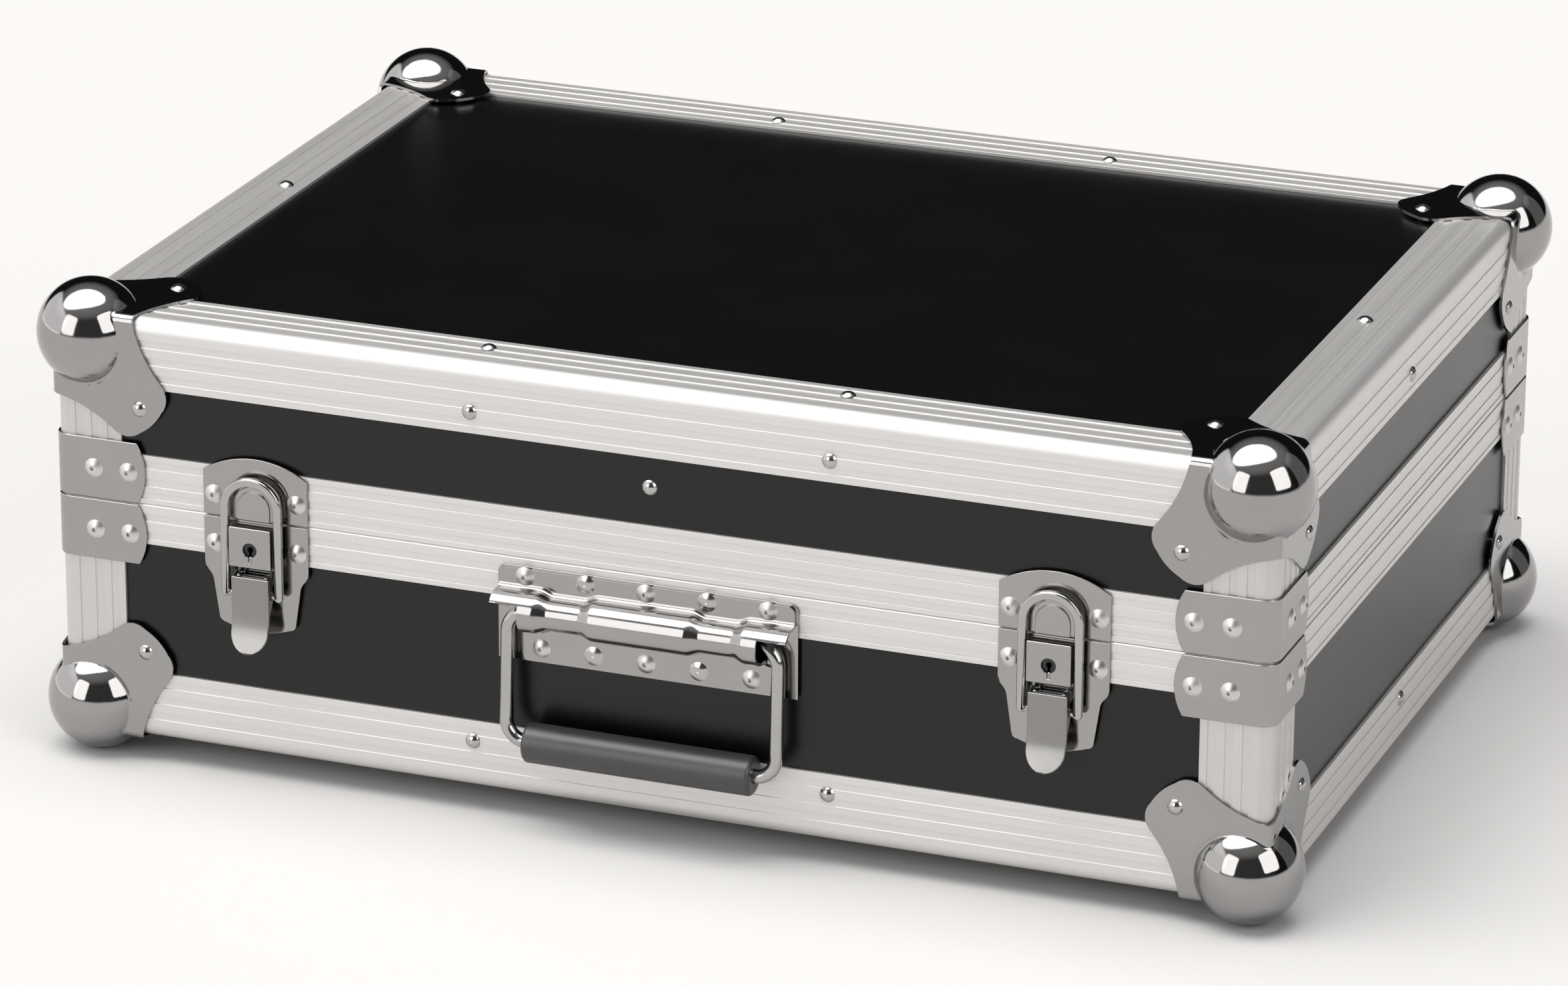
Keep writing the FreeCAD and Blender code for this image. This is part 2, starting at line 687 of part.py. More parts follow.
def handle_grip(at):
    low = -swing_down - wire_drop
    ends = (at(-grip_half, swing_out, low), at(grip_half, swing_out, low))
    shape = rod(ends[0], ends[1], grip_r)
    shape = shape.makeChamfer(grip_edge, [e for e in shape.Edges if e.BoundBox.XLength < part_gap])
    return leaned(at, shape.cut(rod(ends[0], ends[1], wire_r + pin_slack)))


def leaned(at, shape):
    """A piece of the handle at rest, leaning out so that the grip rests off the case."""
    shape.rotate(at(0, swing_out, -swing_down), V(1, 0, 0), -swing_lean_deg)
    return shape


def handle_springs(at):
    """Two coils round the handle wire inside the cover, each with a leg against the plate."""
    mean = wire_r + pin_slack + pin_slack + coil_wire_r
    run = coil_pitch * coil_turns
    coils = []
    for way in (-1, 1):
        turn = FreeCAD.Rotation(V(0, 0, 1), V(way, 0, 0))
        helix = Part.makeHelix(coil_pitch, run, mean)
        ring = Part.Wire(Part.makeCircle(coil_wire_r, V(mean, 0, 0), V(0, 1, 0)))
        coil = Part.Wire(helix.Edges).makePipeShell([ring], True, True)
        coil.Placement = FreeCAD.Placement(at(way * coil_start, swing_out, -swing_down), turn)
        end = way * (coil_start + run)
        up = -swing_down - way * mean
        coils.append(coil.fuse(rod(at(end, swing_out, up), at(end, plate_t, up), coil_wire_r)))
    return coils


def hinge_leaf(at, u0, u1, leaf, way):
    """One leaf with its knuckle: way is 1 for the lid and -1 for the base."""
    plate = block_at(at, -hinge_half, hinge_half, 0, plate_t, way * part_gap, way * leaf)
    shape = plate
    for low, top in zip(u0, u1):
        roll = rod(at(low, hinge_out, 0), at(top, hinge_out, 0), knuckle_r)
        web = block_at(at, low, top, 0, hinge_out, way * hinge_web_gap, way * knuckle_r)
        shape = shape.multiFuse([roll, web])
    return shape


def hinge_lid_leaf_shape(at):
    shape = hinge_leaf(at, [-hinge_mid_half], [hinge_mid_half], hinge_lid_leaf, 1)
    low = -knuckle_r
    reach = hinge_out + stop_reach
    stop = block_at(at, -hinge_mid_half, hinge_mid_half, hinge_out, reach, low, low + stop_t)
    stop.rotate(at(0, hinge_out, 0), V(1, 0, 0), stop_tilt_deg)
    bore = rod(at(-hinge_half, hinge_out, 0), at(hinge_half, hinge_out, 0), hinge_pin_r + pin_slack)
    return shape.fuse(stop).cut(bore).removeSplitter()


def hinge_base_leaf_shape(at):
    near = hinge_mid_half + hinge_side_gap
    shape = hinge_leaf(at, [-hinge_half, near], [-near, hinge_half], hinge_base_leaf, -1)
    bore = rod(at(-hinge_half, hinge_out, 0), at(hinge_half, hinge_out, 0), hinge_pin_r + pin_slack)
    return shape.cut(bore).removeSplitter()


def hinge_pin(at):
    shape = rod(at(-hinge_half, hinge_out, 0), at(hinge_half, hinge_out, 0), hinge_pin_r)
    for way in (-1, 1):
        inner = at(way * hinge_half, hinge_out, 0)
        outer = at(way * (hinge_half + hinge_pin_head), hinge_out, 0)
        shape = shape.fuse(rod(inner, outer, hinge_pin_head_r))
    return shape.removeSplitter()


def save(name, shapes):
    whole = shapes[0] if len(shapes) == 1 else Part.makeCompound(shapes)
    whole.exportStep("parts/" + name + ".step")


base_rivets = Rivets()
lid_rivets = Rivets()
edge_rivets(base_rivets, z_low, 1)
edge_rivets(lid_rivets, z_top, -1)
brace_rivets(base_rivets, z_part - part_gap - brace_h / 2)
brace_rivets(lid_rivets, z_part + part_gap + brace_h / 2)
lid_rivets.add(V(0, front + skin, z_part + panel_rivet_up), V(0, -1, 0), shank_bite, "dome")

latch_deep = plate_t + skin + shank_bite
for side in (-1, 1):
    latch_at = front_of(side * latch_x)
    hinge_at = back_of(side * hinge_x)
    for u in (-latch_rivet_u, latch_rivet_u):
        base_rivets.add(latch_at(u, plate_t, -plate_rivet_down), V(0, -1, 0), latch_deep, "pulled")
        lid_rivets.add(latch_at(u, plate_t, keeper_rivet_up), V(0, -1, 0), latch_deep, "pulled")
    for u in (-hinge_rivet_u, 0, hinge_rivet_u):
        base_rivets.add(hinge_at(u, plate_t, -hinge_base_rivet), V(0, 1, 0), latch_deep, "pulled")
        lid_rivets.add(hinge_at(u, plate_t, hinge_lid_rivet), V(0, 1, 0), latch_deep, "pulled")

handle_at = front_of(0)
for step in (-2, -1, 0, 1, 2):
    kind = "pulled" if step in (-2, 0, 2) else "flat"
    seat_out = plate_t + plate_t
    upper = handle_at(step * handle_upper_pitch, seat_out, -handle_upper_down)
    lower = handle_at(step * handle_lower_pitch, seat_out, -handle_lower_down)
    base_rivets.add(upper, V(0, -1, 0), latch_deep + plate_t, kind)
    base_rivets.add(lower, V(0, -1, 0), latch_deep + plate_t, kind)

base_bars, base_posts = angles(z_low, 1, base_h - base_strip)
lid_bars, lid_posts = angles(z_top, -1, lid_h - lid_strip)
base_walls = wall_panels(z_low + edge_r, z_part - base_web)
lid_walls = wall_panels(z_part + lid_web, z_top - edge_r)
base_rims = rims(base_rim_steps)
lid_rims = rims(lid_rim_steps)
ball = ball_corner()
base_brace = corner_brace()
below = box(-case_w, case_w, -case_d, case_d, -ball_r, 0)
base_balls = [b.cut(below) for b in around(ball)]
lid_balls = around(flip_z(ball, z_mid))

for side in ("front", "back", "left", "right"):
    save("base_" + side + "_panel", [base_rivets.drill(base_walls[side])])
    save("lid_" + side + "_panel", [lid_rivets.drill(lid_walls[side])])
    save("base_" + side + "_angle", [base_rivets.drill(base_bars[side])])
    save("lid_" + side + "_angle", [lid_rivets.drill(lid_bars[side])])
    save("base_" + side + "_rim", [base_rivets.drill(base_rims[side])])
    save("lid_" + side + "_rim", [lid_rivets.drill(lid_rims[side])])
save("base_bottom_panel", [base_rivets.drill(flat_panel(z_low + skin, z_low + wall_in))])
save("lid_top_panel", [lid_rivets.drill(flat_panel(z_top - wall_in, z_top - skin))])
save("base_post_angles", [base_rivets.drill(p) for p in base_posts])
save("lid_post_angles", [lid_rivets.drill(p) for p in lid_posts])
save("base_ball_corners", [base_rivets.drill(b) for b in base_balls])
save("lid_ball_corners", [lid_rivets.drill(b) for b in lid_balls])
save("base_corner_braces", [base_rivets.drill(b) for b in around(base_brace)])
save("lid_corner_braces", [lid_rivets.drill(b) for b in around(flip_z(base_brace, z_part))])
save("base_dome_rivets", base_rivets.domes)
save("base_pulled_rivets", base_rivets.pulled)
save("lid_dome_rivets", lid_rivets.domes)
save("lid_pulled_rivets", lid_rivets.pulled)

pad_low = z_low + wall_in
pad_top = z_top - wall_in
save("base_floor_pad", [flat_pad(pad_low, pad_low + floor_pad)])
save("base_wall_pads", wall_pads(pad_low, z_part - lip_drop - pad_rim_gap))
save("lid_top_pad", [flat_pad(pad_top - floor_pad, pad_top)])
save("lid_wall_pads", wall_pads(z_part + lip_drop + pad_rim_gap, pad_top))

latch_ats = {"left": front_of(-latch_x), "right": front_of(latch_x)}
for side, latch_at in latch_ats.items():
    save("latch_lever_" + side, [latch_lever(latch_at)])
    save("latch_loop_" + side, [latch_loop(latch_at)])
    save("lock_core_" + side, [lock_core(latch_at)])
save("latch_plates", [base_rivets.drill(latch_plate(a)) for a in latch_ats.values()])
save("latch_keepers", [lid_rivets.drill(latch_keeper(a)) for a in latch_ats.values()])
save("lock_bodies", [lock_body(a) for a in latch_ats.values()])
save("latch_pins", [pivot_rod(a, pivot_pin_r) for a in latch_ats.values()])

save("handle_back_plate", [base_rivets.drill(handle_plate(handle_at))])
save("handle_cover", [base_rivets.drill(handle_cover(handle_at))])
save("handle_bail", [handle_bail(handle_at)])
save("handle_grip", [handle_grip(handle_at)])
save("handle_springs", handle_springs(handle_at))

hinge_ats = [back_of(-hinge_x), back_of(hinge_x)]
save("hinge_lid_leaves", [lid_rivets.drill(hinge_lid_leaf_shape(a)) for a in hinge_ats])
save("hinge_base_leaves", [base_rivets.drill(hinge_base_leaf_shape(a)) for a in hinge_ats])
save("hinge_pins", [hinge_pin(a) for a in hinge_ats])
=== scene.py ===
import math
from typing import NamedTuple

import bpy
import numpy as np
from bpy.props import FloatProperty, FloatVectorProperty, IntProperty, PointerProperty
from mathutils import Matrix, Vector


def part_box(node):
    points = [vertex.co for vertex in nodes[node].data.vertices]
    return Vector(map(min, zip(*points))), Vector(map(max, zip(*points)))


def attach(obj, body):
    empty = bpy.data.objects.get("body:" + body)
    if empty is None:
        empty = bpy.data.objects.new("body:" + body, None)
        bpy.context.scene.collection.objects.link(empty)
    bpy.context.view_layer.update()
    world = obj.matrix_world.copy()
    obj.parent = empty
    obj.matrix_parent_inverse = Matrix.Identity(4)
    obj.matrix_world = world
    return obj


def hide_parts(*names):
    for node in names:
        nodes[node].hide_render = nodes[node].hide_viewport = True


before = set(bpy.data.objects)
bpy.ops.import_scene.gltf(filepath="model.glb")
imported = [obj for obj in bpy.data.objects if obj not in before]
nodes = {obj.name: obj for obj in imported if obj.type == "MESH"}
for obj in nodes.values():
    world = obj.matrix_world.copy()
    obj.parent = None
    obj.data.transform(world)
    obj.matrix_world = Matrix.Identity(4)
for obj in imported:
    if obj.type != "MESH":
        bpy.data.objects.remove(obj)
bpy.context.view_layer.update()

bl_info = {
    "name": "Flight case",
    "version": (1, 0, 0),
    "blender": (4, 5, 0),
    "location": "3D View > Sidebar > Flight case",
    "description": "Finishes, pressed corners, handle cover, foam lining and a studio for a flight case",
    "category": "Object",
}

MM = 0.001

# The case over its edge angles, read from the frame.
case_low = Vector((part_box("base_left_angle")[0].x, *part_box("base_front_angle")[0].yz))
case_high = Vector((-case_low.x, -case_low.y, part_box("lid_front_angle")[1].z))


def length(name, description, millimetres):
    return FloatProperty(name=name, description=description, default=millimetres * MM, unit="LENGTH")


def colour(name, description, value):
    return FloatVectorProperty(name=name, description=description, default=value, subtype="COLOR",
                               min=0, max=1)


def angle(name, description, degrees):
    return FloatProperty(name=name, description=description, default=math.radians(degrees), subtype="ANGLE")


def brightness(name, description, value):
    return FloatProperty(name=name, description=description, default=value, min=0)


class CaseFinish(bpy.types.PropertyGroup):
    """Colours of the case's finishes."""

    laminate: colour("Laminate", "Black laminate on the panels", (0.0015, 0.0013, 0.0012))
    aluminium: colour("Aluminium", "Satin edge angles and rim strips", (0.70, 0.693, 0.683))
    chrome: colour("Chrome", "Bright plating on the ball corners", (0.345, 0.341, 0.337))
    plate: colour("Plate", "Plated sheet of braces, latches, handle and hinges", (0.355, 0.349, 0.343))
    lever: colour("Lever", "Worn plating of the latch levers", (0.27, 0.266, 0.262))
    wire: colour("Wire", "Bright wire of the handle and the latch loops", (0.42, 0.416, 0.411))
    rivet: colour("Rivet", "Plain bright rivets", (0.45, 0.445, 0.44))
    pulled: colour("Pulled rivet", "Satin rivets with an open middle", (0.60, 0.594, 0.588))
    spring: colour("Spring", "Drawn steel of springs and pins", (0.40, 0.40, 0.40))
    core: colour("Lock core", "Dark steel of the key cores", (0.05, 0.05, 0.052))
    rubber: colour("Rubber", "Moulded rubber of the grip", (0.026, 0.0255, 0.0255))
    foam: colour("Foam", "Foam lining", (0.030, 0.030, 0.032))


class CaseForm(bpy.types.PropertyGroup):
    """Sizes of the pressed corners, the handle's cover, the lining and the rounded edges."""

    ball: length("Ball radius", "Radius of the ball of each corner", 22.8)
    inset: length("Ball inset", "From the faces of the angles in to the middle of the ball", 11.8)
    sheet: length("Sheet", "Thickness of the pressed sheet", 1.2)
    fold: length("Fold", "Inner radius of the sheet's folds", 2.5)
    span: length("Leg span", "Reach of a leg along the case, from the corner", 52.2)
    wrap: length("Wrap", "Reach of the sheet along the edge, from the corner", 36.5)
    fillet: length("Fillet", "Blend between the ball and its legs", 0.8)
    groove: length("Groove", "Depth of the groove pressed round the ball", 1.7)
    groove_width: length("Groove width", "Width of the groove pressed round the ball", 2.1)
    groove_from: length("Groove from", "Distance from a fold at which the groove begins", 10.0)
    groove_full: length("Groove full", "Distance from a fold at which the groove is at full depth", 19.0)
    loop_edge: length("Loop edge", "Rounding of the edges of the latch loops", 0.6)
    sheet_edge: length("Sheet edge", "Rounding of the edges of pressed and folded sheet", 0.45)
    strip_edge: length("Strip edge", "Rounding of the edges of the aluminium strips", 0.12)
    plate_edge: length("Plate edge", "Rounding of the edges of the latch and handle plates", 0.25)
    roll: length("Cover roll", "Outer radius of the handle cover's roll", 8.5)
    neck: length("Cover neck", "Outer radius of the roll at its two necks", 6.6)
    roll_drop: length("Roll drop", "From the cover's top edge down to the middle of the roll", 16.7)
    roll_half: length("Roll half", "From the cover's middle to where the roll opens for the bail", 52.0)
    neck_from: length("Neck from", "From the cover's middle to the start of a neck", 23.5)
    neck_to: length("Neck to", "From the cover's middle to the end of a neck", 43.0)
    neck_ease: length("Neck ease", "Half the length of the slope between roll and neck", 3.2)
    eaves: length("Eaves", "Height above the roll's middle at which its open ends stop", 4.7)
    foot_half: length("Foot half", "Half the width of the cover's foot", 54.5)
    cove: length("Cove", "Radius of the fold between the cover's flanges and its roll", 2.2)
    plate_corner: length("Plate corner", "Rounding of the cover's outer corners", 3.0)
    wall_pad: length("Wall pad", "Thickness of the foam on the walls", 8.0)
    pad_round: length("Pad rounding", "Rounding of the foam's edges", 2.6)
    pad_crown: length("Pad crown", "How far the foam swells between its edges", 1.3)
    pad_gap: length("Pad gap", "Clearance of the foam all round", 0.2)
    rings: IntProperty(name="Rings", description="Rings of faces from ball to leg edge", default=90, min=8)


class CaseStage(bpy.types.PropertyGroup):
    """Floor, light and camera."""

    floor: colour("Floor", "Pale floor", (0.57, 0.566, 0.562))
    floor_side: length("Floor side", "Side of the floor", 40000.0)
    light: colour("Light", "Tint of the light", (1.0, 0.985, 0.975))
    room: brightness("Room", "Brightness of the dark room", 0.012)
    horizon: brightness("Horizon", "Brightness behind the floor's far edge", 0.55)
    overhead: brightness("Overhead", "Brightness of the softbox overhead", 5.0)
    ceiling: brightness("Ceiling", "Brightness of the ceiling round it", 0.34)
    front: brightness("Front", "Brightness of the two softboxes in front", 2.6)
    walls: brightness("Walls", "Brightness of the walls at the sides", 0.4)
    eye: FloatVectorProperty(name="Eye", description="Place of the camera",
                             default=(1.0176, -2.7130, 1.1670), subtype="TRANSLATION", unit="LENGTH")
    azimuth: angle("Azimuth", "Turn of the camera round the case", 20.78)
    elevation: angle("Elevation", "Tilt of the camera", 20.44)
    roll: angle("Roll", "Roll of the camera", 0.28)
    lens: FloatProperty(name="Lens", description="Focal length", default=165.6, unit="CAMERA")
    film: FloatProperty(name="Film", description="Width of the film", default=36.0, unit="CAMERA")


class Lamp(NamedTuple):
    """A bright panel of the studio.

    share is its part of its group's brightness. turn and rise are degrees to the camera's right and above
    the floor. half_wide and half_tall are tangents. corners is 2 for an oval and more for a squarer panel.
    soft is the softness of its edge.
    """

    share: float
    turn: float
    rise: float
    half_wide: float
    half_tall: float
    corners: float
    soft: float


# The studio's panels, by the stage's brightness that each group takes.
lamps = {
    "overhead": (Lamp(1.0, -90.0, 79.0, 0.44, 0.72, 2.0, 0.22),),
    "ceiling": (Lamp(1.0, -90.0, 84.0, 0.95, 1.30, 2.0, 0.90),),
    "front": (Lamp(1.0, -46.0, 22.0, 0.25, 0.34, 8.0, 0.22),
              Lamp(1.0, 46.0, 29.0, 0.32, 0.36, 8.0, 0.22)),
    "walls": (Lamp(3.2, -98.0, 19.0, 0.80, 0.42, 4.0, 0.50),
              Lamp(0.5, 100.0, 20.0, 0.32, 0.55, 4.0, 0.22),
              Lamp(0.15, 0.0, 24.0, 1.20, 0.70, 2.0, 0.90)),
}

# Rise of a direction over which the horizon fades into the room.
horizon_fade = (0.02, 0.05)

# Least reach ahead of a panel, so that nothing is divided by zero.
least_ahead = 0.001


class Plating(NamedTuple):
    """A plated metal: its colour's name, least roughness, roughness that smears add, and waviness."""

    tint: str
    rough: float
    smear: float
    wave: float


platings = {
    "ball chrome": Plating("chrome", 0.035, 0.05, 0.01 * MM),
    "brace plate": Plating("plate", 0.14, 0.10, 0.01 * MM),
    "rivet steel": Plating("rivet", 0.10, 0.10, 0.02 * MM),
    "pulled rivet": Plating("pulled", 0.28, 0.12, 0.02 * MM),
    "latch plate": Plating("plate", 0.08, 0.08, 0.02 * MM),
    "latch loop": Plating("wire", 0.07, 0.08, 0.01 * MM),
    "latch lever": Plating("lever", 0.22, 0.10, 0.01 * MM),
    "latch pin": Plating("spring", 0.20, 0.10, 0.01 * MM),
    "key core": Plating("core", 0.30, 0.10, 0.01 * MM),
    "handle plate": Plating("plate", 0.10, 0.08, 0.02 * MM),
    "handle wire": Plating("wire", 0.08, 0.08, 0.01 * MM),
    "spring steel": Plating("spring", 0.20, 0.10, 0.01 * MM),
    "hinge plate": Plating("plate", 0.12, 0.10, 0.02 * MM),
    "hinge pin": Plating("spring", 0.20, 0.10, 0.01 * MM),
}

# Waves of noise per metre in each finish.
grain_scale = 1700.0
cloud_scale = 16.0
smear_scale = 45.0
fine_scale = 1500.0
swell_scale = 70.0
pebble_scale = 1300.0
bloom_scale = 60.0
cell_scale = 900.0
mottle_scale = 120.0
tooth_scale = 700.0

# The same for drawn aluminium, across its streaks and along them.
streak_scales = (1100.0, 5.0)
band_scales = (90.0, 2.0)

# Painted shade on drawn aluminium: the share of its brightness that it keeps, by the axis along which its
# streaks run, so the side strips are darker and the upright posts darkest.
painted_shade_shares = (0.96, 0.93, 0.82)


class Field:
    """A node socket. Arithmetic on it adds Math nodes, and node() adds any other kind of node."""

    def __init__(self, tree, socket=None):
        self.tree = tree
        self.socket = socket

    def node(self, kind, settings=None, inputs=None, output=0):
        made = self.tree.nodes.new(kind)
        for name, value in (settings or {}).items():
            setattr(made, name, value)
        for name, value in (inputs or {}).items():
            if isinstance(value, Field):
                self.tree.links.new(value.socket, made.inputs[name])
            else:
                made.inputs[name].default_value = value
        if made.outputs:
            return Field(self.tree, made.outputs[output])

    def math(self, operation, first, second):
        return self.node("ShaderNodeMath", {"operation": operation}, {0: first, 1: second})

    def __add__(self, other):
        return self.math("ADD", self, other)

    def __radd__(self, other):
        return self.math("ADD", other, self)

    def __sub__(self, other):
        return self.math("SUBTRACT", self, other)

    def __rsub__(self, other):
        return self.math("SUBTRACT", other, self)

    def __mul__(self, other):
        return self.math("MULTIPLY", self, other)

    def __rmul__(self, other):
        return self.math("MULTIPLY", other, self)

    def __truediv__(self, other):
        return self.math("DIVIDE", self, other)

    def __rtruediv__(self, other):
        return self.math("DIVIDE", other, self)

    def __pow__(self, other):
        return self.math("POWER", self, other)

    def __abs__(self):
        return self.math("ABSOLUTE", self, 0.0)


def place(field, scales=(1.0, 1.0, 1.0)):
    """The piece's own coordinates in metres, stretched by a scale along each axis."""
    own = field.node("ShaderNodeTexCoord", output="Object")
    return field.node("ShaderNodeVectorMath", {"operation": "MULTIPLY"}, {0: own, 1: scales})


def noise(field, vector, scale, detail=2.0):
    return field.node("ShaderNodeTexNoise", inputs={"Vector": vector, "Scale": scale, "Detail": detail})


def drawn_noise(field, axis, scales, detail=2.0):
    """Noise drawn out along one axis: scales are across the axis and along it."""
    across, along = scales
    stretch = [along if i == axis else across for i in range(3)]
    return noise(field, place(field, stretch), 1.0, detail)


def between(field, value, low, high):
    """0 below low, 1 above high, and smooth between them."""
    ends = {"Value": value, "From Min": low, "From Max": high}
    return field.node("ShaderNodeMapRange", {"interpolation_type": "SMOOTHSTEP"}, ends)


def bump(field, height, depth):
    return field.node("ShaderNodeBump", inputs={"Strength": 1.0, "Distance": depth, "Height": height})


def shade(tint, share):
    return (tint[0] * share, tint[1] * share, tint[2] * share, 1.0)


def varied(field, factor, tint, first, last):
    """A tint whose brightness goes from the first share to the last as a factor goes from 0 to 1."""
    ends = {0: factor, 6: shade(tint, first), 7: shade(tint, last)}
    return field.node("ShaderNodeMix", {"data_type": "RGBA"}, ends, 2)


def material(name, paint, finish):
    """Material whose shader inputs are worked out by a paint function."""
    made = bpy.data.materials.new(name)
    made.use_nodes = True
    made.node_tree.nodes.clear()
    field = Field(made.node_tree)
    surface = field.node("ShaderNodeBsdfPrincipled", inputs=paint(field, finish))
    field.node("ShaderNodeOutputMaterial", inputs={"Surface": surface})
    return made


def laminate(field, finish):
    """Black laminate with a fine pressed grain and faint clouds in its gloss."""
    grain = noise(field, place(field), grain_scale, detail=3.0)
    cloud = noise(field, place(field), cloud_scale)
    return {"Base Color": varied(field, cloud, finish.laminate, first=0.7, last=1.3),
            "Roughness": 0.22 + 0.08 * grain + 0.06 * cloud,
            "Specular IOR Level": 0.40,
            "Normal": bump(field, grain, depth=0.01 * MM)}


def drawn_aluminium_with_painted_shade(axis):
    """Satin aluminium with fine streaks along one axis, darkened by a painted shade chosen by that axis."""

    def paint(field, finish):
        # Painted shade: a darker copy of the aluminium for pieces along y, and darker still along z.
        metal = shade(finish.aluminium, painted_shade_shares[axis])
        streak = drawn_noise(field, axis, streak_scales, detail=3.0)
        band = drawn_noise(field, axis, band_scales)
        return {"Base Color": varied(field, streak, metal, first=0.94, last=1.04),
                "Metallic": 0.75,
                "Roughness": 0.34 + 0.12 * streak + 0.06 * band,
                "Normal": bump(field, streak, depth=0.006 * MM)}

    return paint


def plated(name, finish):
    """Plated metal: a smooth bright coat with faint smears, and a slight waviness from the press."""
    look = platings[name]

    def paint(field, colours):
        smear = noise(field, place(field), smear_scale, detail=4.0)
        fine = noise(field, place(field), fine_scale)
        worn = between(field, smear, low=0.35, high=0.75)
        swell = noise(field, place(field), swell_scale, detail=1.0)
        return {"Base Color": varied(field, smear, getattr(colours, look.tint), first=0.95, last=1.05),
                "Metallic": 1.0,
                "Roughness": look.rough + look.smear * worn + look.smear / 2 * fine,
                "Normal": bump(field, swell, look.wave)}

    return material(name, paint, finish)


def rubber(field, finish):
    """Matt moulded rubber with a fine pebble and a faint bloom."""
    pebble = noise(field, place(field), pebble_scale, detail=3.0)
    bloom = noise(field, place(field), bloom_scale, detail=3.0)
    return {"Base Color": varied(field, bloom, finish.rubber, first=0.8, last=1.5),
            "Roughness": 0.30 + 0.14 * bloom,
            "Specular IOR Level": 0.7,
            "Normal": bump(field, pebble, depth=0.03 * MM)}


def foam(field, finish):
    """Open-celled foam: small pores over a soft mottled grey, with painted shade darkening the hollows of
    its cell bump.
    """
    cells = field.node("ShaderNodeTexVoronoi", inputs={"Vector": place(field), "Scale": cell_scale})
    pore_depth_and_shade = between(field, cells, low=0.15, high=0.6)
    mottle = noise(field, place(field), mottle_scale, detail=4.0)
    # Painted shade: the foam is darker where its cell bump sinks, and lighter on the raised cell middles.
    return {"Base Color": varied(field, 0.35 * mottle + 0.65 * pore_depth_and_shade, finish.foam, first=1.7, last=0.4),
            "Roughness": 0.95,
            "Normal": bump(field, 1 - pore_depth_and_shade, depth=0.35 * MM)}


def pale_floor(field, stage):
    """Pale paper with a barely seen tooth."""
    tooth = noise(field, place(field), tooth_scale)
    return {"Base Color": varied(field, tooth, stage.floor, first=0.99, last=1.01),
            "Roughness": 0.9,
            "Specular IOR Level": 0.1}


# How edges are rounded: faces that meet at less than the angle stay as they are, and the angle is wider
# on sheet, whose own curves have coarser faces.
round_segments = 2
sharp_angle = math.radians(38)
sheet_angle = math.radians(50)

# Corners nearer than the gap are joined, and faces within the angle count as one flat face.
weld_gap = 0.001 * MM
flat_angle = math.radians(0.4)

# Weight of large faces over small ones when the shading is evened, where 50 favours neither.
face_weight = 90


def round_edges(piece, width, least_angle, clamp):
    edge = piece.modifiers.new("round edges", "BEVEL")
    edge.width = width
    edge.segments = round_segments
    edge.limit_method = "ANGLE"
    edge.angle_limit = least_angle
    edge.use_clamp_overlap = clamp
    even = piece.modifiers.new("even shading", "WEIGHTED_NORMAL")
    even.weight = face_weight
    even.keep_sharp = False


def soften(piece, width, dissolve):
    """Rounds the sharp edges of a CAD piece with modifiers, its own mesh left as it is."""
    weld = piece.modifiers.new("join faces", "WELD")
    weld.merge_threshold = weld_gap
    if dissolve:
        flat = piece.modifiers.new("flat faces", "DECIMATE")
        flat.decimate_type = "DISSOLVE"
        flat.angle_limit = flat_angle
    round_edges(piece, width, sharp_angle, clamp=False)


def dress(names, finish, edge=0.0, dissolve=True):
    """Gives CAD nodes a finish and, where edge is set, rounded edges."""
    for name in names:
        for held in nodes[name].material_slots:
            held.material = finish
        if edge:
            soften(nodes[name], edge, dissolve)


def ending(*ends):
    return sorted(n for n in nodes if n.endswith(ends))


def ease(share):
    """Smooth rise from 0 to 1 as a share goes from 0 to 1."""
    return share * share * (3 - 2 * share)


def arc(start, middle, end, count):
    """Points after start on the arc through middle to end."""
    (ax, ay), (bx, by), (cx, cy) = start, middle, end
    twice = 2 * (ax * (by - cy) + bx * (cy - ay) + cx * (ay - by))
    a2, b2, c2 = ax * ax + ay * ay, bx * bx + by * by, cx * cx + cy * cy
    ux = (a2 * (by - cy) + b2 * (cy - ay) + c2 * (ay - by)) / twice
    uy = (a2 * (cx - bx) + b2 * (ax - cx) + c2 * (bx - ax)) / twice
    first = math.atan2(ay - uy, ax - ux)
    turn = (math.atan2(cy - uy, cx - ux) - first + math.pi) % math.tau - math.pi
    radius = math.hypot(ax - ux, ay - uy)
    turns = [first + turn * i / count for i in range(1, count + 1)]
    return [(ux + radius * math.cos(t), uy + radius * math.sin(t)) for t in turns]


# Points of half a leg's edge, as shares of the leg's span along one edge of the case and the other.
leg_half_shares = ((0.791, 0.287), (0.940, 0.520), (0.986, 0.645), (0.942, 0.755))
leg_tip_share = 0.862

# Points on the arcs of a leg's edge: each side, each shoulder, and the tip between the shoulders.
side_count = 36
shoulder_count = 8
tip_count = 12

# How the rings are spread from the corner to the legs' edges: most of them where the ball meets its legs.
ring_counts = (0.0, 0.25, 0.80, 1.0)
ring_shares = (0.0, 0.50, 0.80, 1.0)


def leg_outline(form):
    """Edge of the sheet on one face, from one folded edge of the case to the other."""
    at = [(s * form.span, t * form.span) for s, t in leg_half_shares]
    half = [(form.wrap, -form.sheet), (form.wrap, -form.sheet / 2), (form.wrap, 0.0)]
    half += arc((form.wrap, 0.0), at[0], at[1], side_count)
    half += arc(at[1], at[2], at[3], shoulder_count)
    turned = [(q, p) for p, q in reversed(half)]
    tip = (leg_tip_share * form.span, leg_tip_share * form.span)
    return half + arc(at[3], tip, turned[0], tip_count) + turned[1:]


